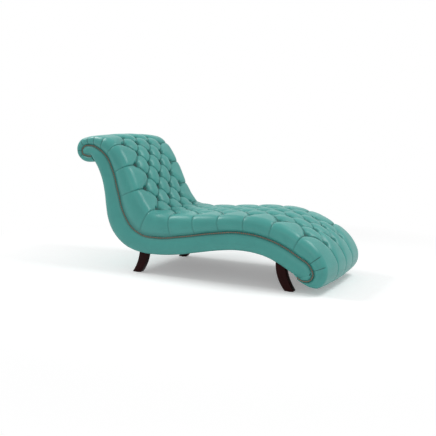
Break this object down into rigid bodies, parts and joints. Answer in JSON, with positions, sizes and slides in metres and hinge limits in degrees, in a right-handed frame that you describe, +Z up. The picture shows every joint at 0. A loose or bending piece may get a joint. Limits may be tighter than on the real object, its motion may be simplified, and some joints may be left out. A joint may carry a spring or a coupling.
{
  "type": "chaise longue",
  "caption": "Button-tufted teal leather chaise longue with a rolled head, S-curved seat, nailed side fascias and four dark sabre legs.",
  "frame": {"origin": "on the floor under the centre of the bounding box", "axes": "+X from the rolled head to the foot, +Y across to the sitter's left, +Z up"},
  "size_m": [1.8071, 0.666, 0.9023],
  "materials": {
    "teal_leather": "semi-gloss pull-up leather, fine grain",
    "welt_leather": "dark gimp strip under the nails",
    "bronze_nail": "antique bronze, domed",
    "mahogany": "dark mahogany stain under satin lacquer",
    "plywood": "raw plywood",
    "hardwood": "planed, unfinished",
    "spring_steel": "oiled wire",
    "zinc_steel": "zinc plated",
    "foam": "open-cell polyurethane foam",
    "cotton_padding": "cotton and fibre padding",
    "hessian": "coarse jute weave",
    "grey_board": "pressed board",
    "dust_cloth": "black spun-bonded cloth",
    "nylon_glide": "moulded nylon"
  },
  "bodies": {
    "root": {"tufted_cover": "teal_leather", "tufting_buttons": "teal_leather", "fascia_leather_left": "teal_leather", "fascia_leather_right": "teal_leather", "outer_back_leather": "teal_leather", "nail_trim_left": "welt_leather", "nail_trim_right": "welt_leather", "trim_nails_left": "bronze_nail", "trim_nails_right": "bronze_nail", "head_leg_left": "mahogany", "head_leg_right": "mahogany", "foot_leg_left": "mahogany", "foot_leg_right": "mahogany", "side_panel_left": "plywood", "side_panel_right": "plywood", "scroll_skin": "plywood", "foot_skin": "plywood", "neck_rail": "hardwood", "upper_back_rail": "hardwood", "middle_back_rail": "hardwood", "lumbar_rail": "hardwood", "head_seat_rail": "hardwood", "middle_seat_rail": "hardwood", "foot_seat_rail": "hardwood", "scroll_rail": "hardwood", "foot_rail": "hardwood", "glue_blocks": "hardwood", "spring_batten_left": "hardwood", "spring_batten_right": "hardwood", "head_leg_block_left": "hardwood", "head_leg_block_right": "hardwood", "foot_leg_block_left": "hardwood", "foot_leg_block_right": "hardwood", "sinuous_springs": "spring_steel", "spring_tie_wires": "spring_steel", "spring_clips": "zinc_steel", "leg_bolts": "zinc_steel", "tee_nuts": "zinc_steel", "rail_screws": "zinc_steel", "foam_core": "foam", "fascia_padding_left": "cotton_padding", "fascia_padding_right": "cotton_padding", "deck_felt": "cotton_padding", "hessian_deck": "hessian", "back_board": "grey_board", "dust_cover": "dust_cloth", "leg_glides": "nylon_glide"}
  },
  "joints": []
}
